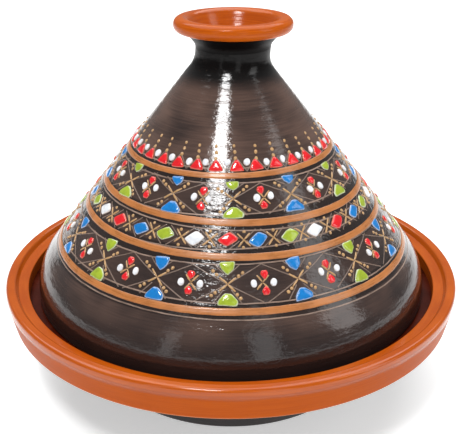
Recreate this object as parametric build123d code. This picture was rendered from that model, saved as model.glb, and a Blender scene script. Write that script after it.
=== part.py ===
from build123d import *
import math
import os

# A tagine pot: a dish on a turned foot and a conical lid with a cup-shaped knob.
# Millimetres, +Z up. The origin is the centre of the foot, on the table.
# The front faces -Y, and angles round the pot run from the front towards +X.

# ---------------------------------------------------------------- the dish
dish_diameter = 305.0      # over the lip
dish_height = 72.0         # table to the top of the lip
rim_height = 21.6          # terracotta rim, from its bottom edge to the lip
rim_taper = 3.6            # how far the wall leans in at the bottom edge
rim_edge_round = 1.4
lip_width = 6.1
lip_straight = 5.0         # upright part of the wall under the lip
lip_outer_round = 2.4
lip_inner_round = 1.8
step_drop = 3.6            # lip down to the ledge
step_run = 2.0
ledge_width = 6.6
ledge_fall = 0.8           # the ledge falls towards the seat
ledge_round = 0.8
seat_depth = 8.1           # ledge down to the seat that the lid stands on
seat_margin = 3.5          # seat left inside the lid's foot
seat_edge_round = 2.5
flange_inset = 1.8         # bowl under the rim, in from the rim's edge
flange_drop = 5.0
flange_lean = 6.0
flange_round = 8.0
belly_wall = 10.0
floor_thickness = 7.5
floor_radius = 84.0
floor_round = 22.0
bowl_knee_depth = 25.0     # seat down to the bend in the bowl's wall
bowl_knee_round = 30.0
dish_glaze = 0.5

# ---------------------------------------------------------------- the foot
foot_radius = 90.3         # outer radius on the table
foot_flare = 1.7
foot_width = 10.3
foot_height = 9.0
foot_round = 1.5

# ---------------------------------------------------------------- the lid
seat_gap = 6.8             # ledge to the lid's skirt, all round
skirt_height = 18.8        # lid's foot to where skirt and cone lines cross
cone_height = 135.3        # from there to where cone and neck lines cross
neck_height = 8.4          # from there to the knob
neck_radius = 23.7
shoulder_round = 36.0
neck_round = 14.0
lid_wall = 7.5
lid_glaze = 0.6
bare_foot = 1.5            # unglazed strip at the lid's foot
lid_foot_round = 1.0

# ---------------------------------------------------------------- the knob
knob_diameter = 74.6
knob_height = 18.8
knob_rim_height = 9.0
knob_rim_width = 8.8
knob_rim_round = 4.3
knob_flare_start = 2.4       # upright part of the neck under the flare
knob_flare_round = 6.0
knob_throat = 30.0         # radius where the flare meets the rim's underside
knob_throat_round = 1.5
cup_depth = 14.0
cup_floor_radius = 21.0
cup_floor_round = 8.0

# ---------------------------------------------------------------- decoration
slip = 0.35                # thickness of the ochre slip
enamel = 0.7               # thickness of the coloured enamel
band_width = 4.5
first_band = 25.4          # up the cone's slope from the shoulder's corner
lower_zone = 31.3          # band to band, up the slope
middle_zone = 20.0
upper_zone = 28.2
edge_gap = 0.7             # enamel to the nearest band

crown_count = 33
crown_start = 3.1          # degrees from the front
triangle_width = 9.0
triangle_height = 6.4
crown_drop_up = 4.8        # white drops, up from the triangles' base
crown_drop_radius = 2.0

upper_count = 13
upper_start = -165.4      # first and last, both green, meet at the back
middle_count = 32
middle_start = -1.3
lower_count = 16
lower_start = -1.0

lozenge_width = 12.0
lozenge_height = 8.4
patch_top_width = 9.6      # patch that hangs from the band above a crossing
patch_top_share = 0.26     # its height, as a share of the zone's height between the bands
patch_foot_width = 12.0    # patch that stands on the band below a crossing
patch_foot_share = 0.335
patch_waist_share = 0.33   # upright part of the standing patch, as a share of its height
patch_tip_width = 2.4
petal_width = 4.6
petal_length = 5.4
petal_belly = 0.6          # where along its length a petal is widest
petal_end = 0.3            # width of its blunt end, as a share of its full width
petal_from_centre = 1.6
flower_drop_radius = 2.0
flower_drop_out = 4.9
arm_length = 5.6           # one arm of an ochre cross
arm_width = 1.5
arm_rise = 40.0            # degrees above level
small_arm_length = 4.6
small_arm_rise = 48.0
corner_round = 0.8

# ---------------------------------------------------------------- worked out
rim_radius = dish_diameter / 2
lip_inner = rim_radius - lip_width
ledge_outer = lip_inner - step_run
ledge_inner = ledge_outer - ledge_width
ledge_z = dish_height - step_drop
ledge_edge_z = ledge_z - ledge_fall
seat_z = ledge_edge_z - seat_depth
rim_bottom_z = dish_height - rim_height
rim_bottom_radius = rim_radius - rim_taper
bowl_flange_radius = rim_bottom_radius - flange_inset
foot_top_radius = foot_radius + foot_flare
cutter_reach = 4 * enamel    # far enough to pass right through the curved skin
floor_z = foot_height + floor_thickness

skirt_radius = ledge_inner - seat_gap
seat_inner = skirt_radius - lid_wall - seat_margin
shoulder_z = seat_z + skirt_height
neck_z = shoulder_z + cone_height
knob_z = neck_z + neck_height
top_z = knob_z + knob_height
knob_radius = knob_diameter / 2
half_angle = math.atan2(skirt_radius - neck_radius, cone_height)

middle_band = first_band + lower_zone
upper_band = middle_band + middle_zone
crown_band = upper_band + upper_zone


def parallel(line, distance):
    """The (radius, z, corner) line moved to its left, with its corners kept concentric."""
    ends = [(a, b, math.hypot(b[0] - a[0], b[1] - a[1])) for a, b in zip(line, line[1:])]
    ways = [((b[0] - a[0]) / run, (b[1] - a[1]) / run) for a, b, run in ends]
    moved = []
    for i, point in enumerate(line):
        before = ways[max(i - 1, 0)]
        after = ways[min(i, len(ways) - 1)]
        turn = before[0] * after[1] - before[1] * after[0]
        share = distance / (1 + before[0] * after[0] + before[1] * after[1])
        radius = point[0] - share * (before[1] + after[1])
        z = point[1] + share * (before[0] + after[0])
        corner = point[2] - distance * math.copysign(1, turn) if point[2] else 0
        moved.append((radius, z, corner))
    return moved


def turned(outline):
    """A solid turned round Z from closed (radius, z, corner round) points."""
    face = Face(Wire.make_polygon([(r, 0, z) for r, z, _ in outline], close=True))
    for r, z, corner in outline:
        if corner:
            place = Vector(r, 0, z)
            nearest = min(face.vertices(), key=lambda v: (Vector(v) - place).length)
            face = face.fillet_2d(corner, [nearest])
    return revolve(face, Axis.Z)


def write(name, solids):
    """Write one node, a single solid or a group of separate ones."""
    found = [one for shape in solids for one in shape.solids()]
    export_step(Compound(found) if len(found) > 1 else found[0], f"parts/{name}.step")


# ---------------------------------------------------------------- dish pieces
def bowl_hollow():
    """The bowl's inside, from the seat's outer edge to the centre of the floor."""
    knee_z = seat_z - bowl_knee_depth
    slope = (bowl_flange_radius - flange_lean - foot_top_radius) / (
        rim_bottom_z - flange_drop - foot_height
    )
    knee_radius = foot_top_radius + slope * (knee_z - foot_height)
    knee_radius -= belly_wall * math.hypot(1, slope)
    return [
        (ledge_inner, seat_z, 0),
        (seat_inner, seat_z, seat_edge_round),
        (knee_radius, knee_z, bowl_knee_round),
        (floor_radius, floor_z, floor_round),
        (0, floor_z, 0),
    ]


def dish_bowl():
    clay = parallel(bowl_hollow(), dish_glaze)
    return turned(
        [
            (0, foot_height, 0),
            (foot_top_radius, foot_height, 0),
            (bowl_flange_radius - flange_lean, rim_bottom_z - flange_drop, flange_round),
            (bowl_flange_radius, rim_bottom_z, 0),
            (ledge_inner, rim_bottom_z, 0),
        ]
        + clay
    )


def bowl_glaze():
    surface = bowl_hollow()
    return turned(surface + parallel(surface, dish_glaze)[::-1])


def dish_rim():
    return turned(
        [
            (ledge_inner, rim_bottom_z, 0),
            (rim_bottom_radius, rim_bottom_z, rim_edge_round),
            (rim_radius, dish_height - lip_straight, lip_outer_round),
            (rim_radius, dish_height, lip_outer_round),
            (lip_inner, dish_height, lip_inner_round),
            (ledge_outer, ledge_z, 0),
            (ledge_inner, ledge_edge_z, ledge_round),
        ]
    )


def foot_ring():
    return turned(
        [
            (foot_radius - foot_width, 0, foot_round),
            (foot_radius, 0, foot_round),
            (foot_top_radius, foot_height, 0),
            (foot_radius - foot_width - foot_flare, foot_height, 0),
        ]
    )


# ---------------------------------------------------------------- lid pieces
def lid_line(end_z):
    """The lid's glazed outside, from the knob down to end_z."""
    return [
        (neck_radius, knob_z, 0),
        (neck_radius, neck_z, neck_round),
        (skirt_radius, shoulder_z, shoulder_round),
        (skirt_radius, end_z, 0),
    ]


def lid_cone():
    outside = parallel(lid_line(seat_z), -lid_glaze)
    outside[-1] = outside[-1][:2] + (lid_foot_round,)
    inside = parallel(lid_line(seat_z), -lid_wall)
    inside[-1] = inside[-1][:2] + (lid_foot_round,)
    return turned(outside + inside[::-1])


def lid_glaze_coat():
    surface = lid_line(seat_z + bare_foot)
    return turned(surface + parallel(surface, -lid_glaze)[::-1])


def knob_cup():
    rim_z = top_z - knob_rim_height
    return turned(
        [
            (0, knob_z, 0),
            (neck_radius, knob_z, 0),
            (neck_radius, knob_z + knob_flare_start, knob_flare_round),
            (knob_throat, rim_z, knob_throat_round),
            (knob_radius, rim_z, knob_rim_round),
            (knob_radius, top_z, knob_rim_round),
            (knob_radius - knob_rim_width, top_z, knob_rim_round),
            (cup_floor_radius, top_z - cup_depth, cup_floor_round),
            (0, top_z - cup_depth, 0),
        ]
    )


# ---------------------------------------------------------------- decoration
def slope_point(up, out=0.0):
    """(radius, z) at a distance up the cone's slope, standing out from the glaze."""
    radius = skirt_radius - up * math.sin(half_angle) + out * math.cos(half_angle)
    return radius, shoulder_z + up * math.cos(half_angle) + out * math.sin(half_angle)


def cone_skin(low, high, thickness):
    """A thin layer on the glaze between two distances up the slope."""
    corners = ((low, 0), (high, 0), (high, thickness), (low, thickness))
    return turned([slope_point(up, out) + (0,) for up, out in corners])


def on_front(up):
    """A plane on the glaze at the front: x level, y up the slope."""
    radius, z = slope_point(up)
    return Plane(
        origin=(0, -radius, z),
        x_dir=(1, 0, 0),
        z_dir=(0, -math.cos(half_angle), math.sin(half_angle)),
    )


def laid_on(shape, up, thickness):
    """A flat shape laid on the front of the cone as a layer of one thickness."""
    height = max(abs(v.Y) for v in shape.vertices()) + 2 * corner_round
    cutter = extrude(on_front(up) * shape, amount=cutter_reach, both=True)
    return cutter & cone_skin(up - height, up + height, thickness)


def rounded(points, radius=corner_round):
    shape = make_face(Polyline(*points, close=True))
    return fillet(shape.vertices(), radius)


def round_pot(solid, count, start, every=1, skip=0):
    """Copies round the lid: of count places, each one in every, after skip."""
    pitch = 360 / count
    places = range(skip, count, every)
    return [Rot(0, 0, start + pitch * i) * solid for i in places]


def triangle():
    half = triangle_width / 2
    return rounded([(-half, 0), (half, 0), (0, triangle_height)])


def lozenge():
    half, high = lozenge_width / 2, lozenge_height / 2
    return rounded([(-half, 0), (0, -high), (half, 0), (0, high)])


def hanging_patch(top):
    half, tip = patch_top_width / 2, patch_tip_width / 2
    low = top - patch_top_share * 2 * top
    return rounded([(-half, top), (-tip, low), (tip, low), (half, top)])


def standing_patch(foot):
    half, tip = patch_foot_width / 2, patch_tip_width / 2
    height = patch_foot_share * 2 * abs(foot)
    high, waist = foot + height, foot + patch_waist_share * height
    return rounded([(-half, foot), (half, foot), (half, waist), (tip, high), (-tip, high), (-half, waist)])


def petal(way):
    """A drop with its point towards the flower's centre, above it or below it."""
    near, far = petal_from_centre, petal_from_centre + petal_length
    wide = near + petal_belly * petal_length
    half, end = petal_width / 2, petal_end * petal_width / 2
    points = [(0, near), (half, wide), (end, far), (-end, far), (-half, wide)]
    return rounded([(x, way * y) for x, y in points[:: int(way)]])


def cross(length, rise):
    bar = Rectangle(2 * length, arm_width)
    return Rot(0, 0, rise) * bar + Rot(0, 0, -rise) * bar


def crossings(zone, low, high, count, start):
    """Ochre crosses, the patches over and under them, and the flowers between."""
    middle = (low + high) / 2
    reach = (high - low - band_width) / 2 - edge_gap
    pair = [laid_on(hanging_patch(reach), middle, enamel), laid_on(standing_patch(-reach), middle, enamel)]
    for colour, skip in (("green", 0), ("blue", 1)):
        patches = [one for part in pair for one in round_pot(part, count, start, 2, skip)]
        write(f"{zone}_patches_{colour}", patches)
    half_pitch = start + 180 / count
    petals = [laid_on(petal(way), middle, enamel) for way in (1, -1)]
    write(f"{zone}_flower_petals", [one for part in petals for one in round_pot(part, count, half_pitch)])
    radius = slope_point(middle)[0]
    aside = math.degrees(flower_drop_out / radius)
    drop = laid_on(Circle(flower_drop_radius), middle, enamel)
    places = (half_pitch - aside, half_pitch + aside)
    write(f"{zone}_flower_drops", [one for place in places for one in round_pot(drop, count, place)])
    write(f"{zone}_crosses", round_pot(laid_on(cross(arm_length, arm_rise), middle, slip), count, start))


def lozenge_row():
    middle = (middle_band + upper_band) / 2
    solid = laid_on(lozenge(), middle, enamel)
    for skip, colour in enumerate(("red", "blue", "green", "white")):
        write(f"middle_lozenges_{colour}", round_pot(solid, middle_count, middle_start, 4, skip))
    between = middle_start + 180 / middle_count
    solid = laid_on(cross(small_arm_length, small_arm_rise), middle, slip)
    write("middle_crosses", round_pot(solid, middle_count, between))


def crown_row():
    base = crown_band + band_width / 2 + edge_gap
    write("crown_triangles", round_pot(laid_on(triangle(), base, enamel), crown_count, crown_start))
    drop = laid_on(Circle(crown_drop_radius), base + crown_drop_up, enamel)
    write("crown_drops", round_pot(drop, crown_count, crown_start + 180 / crown_count))


def ochre_bands():
    places = (("lower", first_band), ("middle", middle_band), ("upper", upper_band), ("crown", crown_band))
    for name, up in places:
        write(f"{name}_band", [cone_skin(up - band_width / 2, up + band_width / 2, slip)])


os.makedirs("parts", exist_ok=True)
for piece in (dish_bowl, bowl_glaze, dish_rim, foot_ring, lid_cone, lid_glaze_coat, knob_cup):
    write(piece.__name__, [piece()])
ochre_bands()
crown_row()
crossings("upper", upper_band, crown_band, upper_count, upper_start)
lozenge_row()
crossings("lower", first_band, middle_band, lower_count, lower_start)
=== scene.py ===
import copy
import math

import bmesh
import bpy
from bpy.props import FloatProperty, FloatVectorProperty, IntProperty, PointerProperty
from bpy.types import Operator, Panel, PropertyGroup
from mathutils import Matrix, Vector


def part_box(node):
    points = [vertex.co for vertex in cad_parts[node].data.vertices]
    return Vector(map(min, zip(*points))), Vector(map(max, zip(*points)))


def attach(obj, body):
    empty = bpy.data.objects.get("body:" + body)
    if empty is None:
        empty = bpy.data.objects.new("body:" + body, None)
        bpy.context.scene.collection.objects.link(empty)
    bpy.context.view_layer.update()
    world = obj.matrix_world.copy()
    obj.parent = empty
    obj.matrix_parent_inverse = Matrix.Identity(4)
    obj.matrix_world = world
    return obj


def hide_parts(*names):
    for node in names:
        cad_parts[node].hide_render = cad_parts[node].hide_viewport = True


bl_info = {
    "name": "Tagine pot",
    "version": (1, 0, 0),
    "blender": (4, 5, 0),
    "location": "3D View > Sidebar > Tagine",
    "description": "A thrown, glazed and enamelled clay cooking pot with a conical lid",
    "category": "Object",
}

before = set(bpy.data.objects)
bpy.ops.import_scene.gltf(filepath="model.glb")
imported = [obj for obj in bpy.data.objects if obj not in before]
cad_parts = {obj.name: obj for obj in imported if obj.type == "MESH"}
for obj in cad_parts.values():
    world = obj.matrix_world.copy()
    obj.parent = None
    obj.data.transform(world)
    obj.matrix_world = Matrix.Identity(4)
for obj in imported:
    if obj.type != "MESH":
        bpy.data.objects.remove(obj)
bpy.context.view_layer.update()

MM = 0.001
TURN = 2 * math.pi

# ---------------------------------------------------------------- sizes taken from the frame
rim_low, rim_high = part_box("dish_rim")
bowl_low, bowl_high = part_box("dish_bowl")
lining_low, lining_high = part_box("bowl_glaze")
foot_low, foot_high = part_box("foot_ring")
coat_low, coat_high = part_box("lid_glaze_coat")
clay_low, clay_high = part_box("lid_cone")
knob_low, knob_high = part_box("knob_cup")
band_boxes = {name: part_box(f"{name}_band") for name in ("lower", "middle", "upper", "crown")}

RIM_RADIUS = rim_high[0]
DISH_TOP = rim_high[2]
RIM_BOTTOM = rim_low[2]
SEAT_Z = lining_high[2]
LEDGE_INNER = lining_high[0]
BOWL_FLOOR = lining_low[2]
FOOT_TOP_RADIUS = foot_high[0]
FOOT_TOP = foot_high[2]
SKIRT_RADIUS = coat_high[0]
LID_FOOT = clay_low[2]
KNOB_Z = knob_low[2]
TOP = knob_high[2]
KNOB_RADIUS = knob_high[0]

# The bands lie on the straight cone, so the lowest and highest give its slope.
SLIP = 0.35 * MM
LEAN = math.atan2(
    band_boxes["lower"][1][0] - band_boxes["crown"][1][0],
    band_boxes["crown"][0][2] - band_boxes["lower"][0][2],
)
CONE_RADIUS = band_boxes["lower"][1][0] - SLIP * math.cos(LEAN)
SHOULDER_Z = band_boxes["lower"][0][2] - (SKIRT_RADIUS - CONE_RADIUS) / math.tan(LEAN)


def band_height(name):
    """How far up the slope a band's middle lies, from the corner of skirt and cone."""
    low, high = band_boxes[name][0][2], band_boxes[name][1][2]
    middle = (low + high - SLIP * math.sin(LEAN)) / 2
    return (middle - SHOULDER_Z) / math.cos(LEAN)


def band_width():
    low, high = band_boxes["crown"]
    return (high[2] - low[2] - SLIP * math.sin(LEAN)) / math.cos(LEAN)


BANDS = {name: band_height(name) for name in band_boxes}
BAND_WIDTH = band_width()


def slope_radius(up):
    return SKIRT_RADIUS - up * math.sin(LEAN)


def on_lid(x, up, out=0.0):
    """A point on the front of the cone: x level, up the slope, out from the glaze."""
    radius = slope_radius(up) + out * math.cos(LEAN)
    angle = x / radius
    z = SHOULDER_Z + up * math.cos(LEAN) + out * math.sin(LEAN)
    return Vector((radius * math.sin(angle), -radius * math.cos(angle), z))


# ---------------------------------------------------------------- node trees
class Link:
    """A socket that plain arithmetic works on: each operation adds its Math node."""

    def __init__(self, wires, socket):
        self.wires = wires
        self.socket = socket

    def __add__(self, other):
        return self.wires.math("ADD", self, other)

    def __radd__(self, other):
        return self.wires.math("ADD", other, self)

    def __sub__(self, other):
        return self.wires.math("SUBTRACT", self, other)

    def __rsub__(self, other):
        return self.wires.math("SUBTRACT", other, self)

    def __mul__(self, other):
        return self.wires.math("MULTIPLY", self, other)

    def __rmul__(self, other):
        return self.wires.math("MULTIPLY", other, self)

    def __truediv__(self, other):
        return self.wires.math("DIVIDE", self, other)

    def __rtruediv__(self, other):
        return self.wires.math("DIVIDE", other, self)


class Wires:
    """A node tree under construction."""

    def __init__(self, tree):
        self.tree = tree

    @staticmethod
    def find(sockets, key):
        if isinstance(key, int):
            return sockets[key]
        for socket in sockets:
            if socket.enabled and key in (socket.identifier, socket.name):
                return socket
        raise KeyError(key)

    def put(self, socket, value):
        if isinstance(value, Link):
            self.tree.links.new(value.socket, socket)
        else:
            socket.default_value = value

    def add(self, kind, settings=None, values=None, output=0):
        """A node with its settings made first, then its inputs; returns one output."""
        node = self.tree.nodes.new(kind)
        settings = dict(settings or {})
        stops = settings.pop("stops", None)
        for name, setting in settings.items():
            setattr(node, name, setting)
        if stops:
            ramp = node.color_ramp.elements
            while len(ramp) < len(stops):
                ramp.new(1.0)
            for element, (place, colour) in zip(ramp, stops):
                element.position = place
                element.color = colour
        for key, value in (values or {}).items():
            self.put(self.find(node.inputs, key), value)
        if output is None or not node.outputs:
            return node
        return Link(self, self.find(node.outputs, output))

    def math(self, operation, *values):
        inputs = dict(enumerate(values))
        return self.add("ShaderNodeMath", {"operation": operation}, inputs)

    def vector(self, operation, *values, output=0):
        inputs = dict(enumerate(values))
        return self.add("ShaderNodeVectorMath", {"operation": operation}, inputs, output)

    def smooth(self, value, low, high):
        """0 below low, 1 above high, and a soft step between."""
        settings = {"interpolation_type": "SMOOTHSTEP"}
        return self.add("ShaderNodeMapRange", settings, {0: value, 1: low, 2: high})

    def mix(self, factor, first, second):
        inputs = {"Factor_Float": factor, "A_Color": first, "B_Color": second}
        return self.add("ShaderNodeMix", {"data_type": "RGBA"}, inputs, "Result_Color")

    def noise(self, vector, scale, detail=2.0, roughness=0.5, seed=0.0):
        values = {"Vector": vector, "W": seed, "Scale": scale, "Detail": detail, "Roughness": roughness}
        return self.add("ShaderNodeTexNoise", {"noise_dimensions": "4D"}, values)


def shade(colour, factor=1.0):
    """A colour property as the four numbers of a colour socket, darker or lighter."""
    return (colour[0] * factor, colour[1] * factor, colour[2] * factor, 1.0)


# ---------------------------------------------------------------- finishes
class Finish(Wires):
    """A material under construction, with the points of its surface at hand."""

    def __init__(self, name):
        self.material = bpy.data.materials.new(name)
        self.material.use_nodes = True
        super().__init__(self.material.node_tree)
        self.tree.nodes.clear()
        self.place = self.add("ShaderNodeTexCoord", output="Object")
        self.x = self.add("ShaderNodeSeparateXYZ", values={0: self.place}, output="X")
        self.y = self.add("ShaderNodeSeparateXYZ", values={0: self.place}, output="Y")
        self.z = self.add("ShaderNodeSeparateXYZ", values={0: self.place}, output="Z")

    def streaks(self, along, across, detail=3.0, seed=0.0):
        """Noise drawn out round the pot: along and across are lengths on the clay."""
        vector = self.add(
            "ShaderNodeCombineXYZ",
            values={0: self.x / along, 1: self.y / along, 2: self.z / across},
        )
        return self.noise(vector, 1.0, detail, 0.6, seed)

    def spots(self, size, detail=2.0, seed=0.0):
        return self.noise(self.place, 1 / size, detail, 0.5, seed)

    def close(self, colour, roughness, bump=None, depth=0.0, coat=0.0, specular=0.5, dull=None, glow=0.0):
        """The material's shader; dull is where its gloss is rubbed or burnt away."""
        values = {
            "Base Color": colour,
            "Roughness": roughness,
            "Coat Weight": coat,
            "Coat Roughness": 0.05,
            "Specular IOR Level": specular,
            "Emission Strength": glow,
        }
        if bump is not None:
            values["Normal"] = self.add("ShaderNodeBump", values={"Height": bump, "Distance": depth})
        shader = self.add("ShaderNodeBsdfPrincipled", values=values)
        if dull is not None:
            values |= {"Roughness": 0.4, "Coat Weight": 0.0, "Specular IOR Level": 0.03}
            matt = self.add("ShaderNodeBsdfPrincipled", values=values)
            shader = self.add("ShaderNodeMixShader", values={0: dull, 1: shader, 2: matt})
        self.add("ShaderNodeOutputMaterial", values={"Surface": shader}, output=None)
        return self.material


def near_band(finish, half_width, soft):
    """1 within half_width of the middle of a band, measured up the slope."""
    total = 0.0
    for up in BANDS.values():
        middle = SHOULDER_Z + up * math.cos(LEAN)
        gap = finish.math("ABSOLUTE", finish.z - middle)
        reach = half_width * math.cos(LEAN)
        total = 1.0 - finish.smooth(gap, reach, reach + soft) + total
    return total


def dark_glaze(colours):
    """Dark brown lid glaze: brushed on round the pot, thinner and warmer in places, with painted shade under
    the knob and a painted reflection darkening the lower skirt.
    """
    finish = Finish("dark glaze")
    brush = finish.streaks(30 * MM, 0.9 * MM, 4.0)
    cloud = finish.streaks(45 * MM, 30 * MM, 2.0, 3.0)
    flecks = finish.spots(1.2 * MM, 2.0, 5.0)
    thin = finish.smooth(brush * 0.3 + cloud * 0.85, 0.34, 0.74)
    decorated_low = SHOULDER_Z + BANDS["lower"] * math.cos(LEAN)
    decorated_high = SHOULDER_Z + BANDS["crown"] * math.cos(LEAN)
    edge = 6 * MM
    inside = finish.smooth(finish.z, decorated_low - edge, decorated_low)
    inside = inside * (1.0 - finish.smooth(finish.z, decorated_high, decorated_high + edge))
    # Painted reflection: the foot mask keeps the lower skirt dark, standing in for the dark seat and channel
    # mirrored in it.
    foot = 1.0 - finish.smooth(finish.z, LID_FOOT + 12 * MM, LID_FOOT + 46 * MM)
    # Painted shade: the neck mask turns the glaze nearly black under the overhanging knob.
    neck = finish.smooth(finish.z, KNOB_Z - 24 * MM, KNOB_Z - 13 * MM)
    thin = thin * (1.0 - inside * 0.6) * (1.0 - foot * 0.9) * (1.0 - neck)
    dark = finish.mix(neck, shade(colours.glaze_dark), shade(colours.glaze_dark, 0.15))
    colour = finish.mix(thin, dark, shade(colours.glaze_warm))
    colour = finish.mix(finish.smooth(flecks, 0.68, 0.8) * 0.5, colour, shade(colours.glaze_warm, 1.3))
    colour = finish.mix(near_band(finish, 4.4 * MM, 1.0 * MM) * 0.7, colour, shade(colours.glaze_dark, 0.35))
    lumps = finish.spots(4.5 * MM, 3.0, 1.0) * inside
    ripple = finish.streaks(5 * MM, 2.2 * MM, 3.0, 9.0)
    relief = brush * 0.15 + lumps * 1.7 + ripple * 1.2
    roughness = finish.smooth(brush, 0.3, 0.8) * 0.08 + 0.08
    low = 1.0 - finish.smooth(finish.z + (cloud - 0.5) * (6 * MM), LID_FOOT + 1 * MM, LID_FOOT + 9 * MM)
    high = finish.smooth(finish.z + (cloud - 0.5) * (6 * MM), KNOB_Z - 16 * MM, KNOB_Z - 7 * MM)
    dull = finish.math("MAXIMUM", low * 0.75, high * 0.75)
    return finish.close(colour, roughness, relief, 0.22 * MM, 0.2, 0.42, dull)


def terracotta(colours):
    """Clear glaze on orange clay: thick on the lip, thin and duller on the wall below, with painted shade on
    the wall, a painted reflection under the lip and a painted highlight on the bottom edge.
    """
    finish = Finish("terracotta")
    lines = finish.streaks(40 * MM, 0.8 * MM, 4.0)
    cloud = finish.spots(38 * MM, 2.0, 2.0)
    spots = finish.smooth(finish.spots(1.6 * MM, 2.0, 4.0), 0.72, 0.80)
    turned = finish.smooth(lines, 0.3, 0.75)
    colour = finish.mix(turned, shade(colours.clay_deep), shade(colours.clay_bright))
    colour = finish.mix(finish.smooth(cloud, 0.35, 0.7) * 0.35, colour, shade(colours.clay_deep, 0.9))
    uneven = (finish.streaks(30 * MM, 6 * MM, 2.0, 7.0) - 0.5) * (3 * MM)
    lip = finish.smooth(finish.z + uneven, DISH_TOP - 8 * MM, DISH_TOP - 5 * MM)
    # Painted shade: the wall below the lip is coloured darker than the lip.
    colour = finish.mix((1.0 - lip) * 0.4, colour, shade(colours.clay_deep, 0.95))
    # Painted reflection: a darker band round the outside of the wall, just under the lip's rounding.
    gap = finish.math("ABSOLUTE", finish.z + uneven - DISH_TOP + 5.5 * MM)
    painted_reflection_under_lip = 1.0 - finish.smooth(gap, 0.6 * MM, 2.4 * MM)
    squared = finish.x * finish.x + finish.y * finish.y
    outside = finish.smooth(squared, (RIM_RADIUS - 3 * MM) ** 2, (RIM_RADIUS - 1 * MM) ** 2)
    colour = finish.mix(painted_reflection_under_lip * outside * 0.6, colour, shade(colours.clay_deep, 0.75))
    colour = finish.mix(spots * 0.5, colour, shade(colours.clay_deep, 0.45))
    # Painted highlight: a pale line of brightened bare-clay colour along the rim's bottom edge.
    painted_edge_highlight = 1.0 - finish.smooth(finish.z + uneven * 0.2, RIM_BOTTOM + 0.7 * MM, RIM_BOTTOM + 1.3 * MM)
    colour = finish.mix(painted_edge_highlight * 0.6, colour, shade(colours.bare_clay, 1.5))
    relief = lines * 0.5 + finish.spots(2.5 * MM, 2.0, 6.0) * 0.35
    roughness = finish.smooth(lines, 0.2, 0.9) * 0.10 + (1.0 - lip) * 0.22 + 0.14
    return finish.close(colour, roughness, relief, 0.14 * MM, lip * 0.3, 0.25, (1.0 - lip) * 0.75)


def knob_glaze(colours, cup_depth):
    """Terracotta rim of the knob, with the lid's dark glaze on its stem, darkened with painted shade."""
    finish = Finish("knob glaze")
    lines = finish.streaks(30 * MM, 0.7 * MM, 4.0)
    clay = finish.mix(finish.smooth(lines, 0.3, 0.75), shade(colours.clay_deep), shade(colours.clay_bright))
    radius = finish.math("SQRT", finish.x * finish.x + finish.y * finish.y)
    edge = finish.spots(6 * MM, 2.0, 2.0) * (1.2 * MM)
    stem_top = TOP - 9.2 * MM
    below = 1.0 - finish.smooth(finish.z + edge, stem_top, stem_top + 0.5 * MM)
    # A cone between the cup's two walls: what lies beyond it is the outside of the stem.
    between_walls = (finish.z - (TOP - cup_depth)) * 0.55 + 21.8 * MM
    outside = finish.smooth(radius - between_walls, 0.0, 0.8 * MM)
    # The stem takes the lid's dark glaze, darkened further by painted shade under the knob's rim.
    colour = finish.mix(below * outside, clay, shade(colours.glaze_dark, 0.15))
    relief = lines * 0.5 + finish.spots(2.5 * MM, 2.0, 6.0) * 0.4
    roughness = finish.smooth(lines, 0.2, 0.9) * 0.10 + 0.13
    dull = finish.math("MAXIMUM", below * outside * 0.9, outside * 0.5)
    return finish.close(colour, roughness, relief, 0.16 * MM, 0.1, 0.3, dull)


def seat_glaze(colours):
    """Red-brown glaze inside the dish, mottled darker and lighter."""
    finish = Finish("seat glaze")
    lines = finish.streaks(35 * MM, 1.2 * MM, 3.0)
    cloud = finish.spots(25 * MM, 3.0, 2.0)
    mottle = finish.smooth(lines * 0.5 + cloud * 0.5, 0.35, 0.68)
    colour = finish.mix(mottle, shade(colours.seat_brown, 0.55), shade(colours.seat_brown, 1.3))
    relief = lines + cloud * 0.5
    return finish.close(colour, mottle * 0.1 + 0.2, relief, 0.2 * MM, 0.0, 0.1)


def underside_glaze(colours):
    """Blackish glaze under the dish and on the foot."""
    finish = Finish("underside glaze")
    lines = finish.streaks(40 * MM, 1.0 * MM, 4.0)
    cloud = finish.spots(22 * MM, 2.0, 2.0)
    warm = finish.smooth(lines * 0.6 + cloud * 0.5, 0.55, 0.78)
    colour = finish.mix(warm, shade(colours.glaze_dark, 0.8), shade(colours.glaze_warm, 0.7))
    return finish.close(colour, warm * 0.2 + 0.22, lines, 0.2 * MM, 0.15)


def bare_clay(colours):
    """Unglazed clay inside the lid, with finger lines and fine grog."""
    finish = Finish("bare clay")
    lines = finish.streaks(60 * MM, 2.2 * MM, 3.0)
    grog = finish.spots(0.9 * MM, 2.0, 3.0)
    scorch = finish.spots(40 * MM, 2.0, 5.0)
    turned = finish.smooth(lines, 0.3, 0.7)
    colour = finish.mix(turned, shade(colours.bare_clay, 0.85), shade(colours.bare_clay))
    colour = finish.mix(finish.smooth(scorch, 0.5, 0.75) * 0.4, colour, shade(colours.bare_clay, 0.55))
    colour = finish.mix(finish.smooth(grog, 0.62, 0.72) * 0.6, colour, shade(colours.bare_clay, 1.35))
    return finish.close(colour, grog * 0.2 + 0.68, lines + grog * 0.5, 0.35 * MM, 0.0, 0.3)


def slip_finish(name, colour, low, high, seed):
    """Brushed slip under a thin clear glaze, from low to high times its colour."""
    finish = Finish(name)
    brush = finish.streaks(14 * MM, 0.5 * MM, 4.0, seed)
    cloud = finish.spots(9 * MM, 2.0, seed + 1)
    lines = finish.smooth(brush * 0.6 + cloud * 0.5, 0.40, 0.70)
    colour = finish.mix(lines, shade(colour, low), shade(colour, high))
    return finish.close(colour, lines * 0.12 + 0.24, brush, 0.12 * MM, 0.2)


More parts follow.
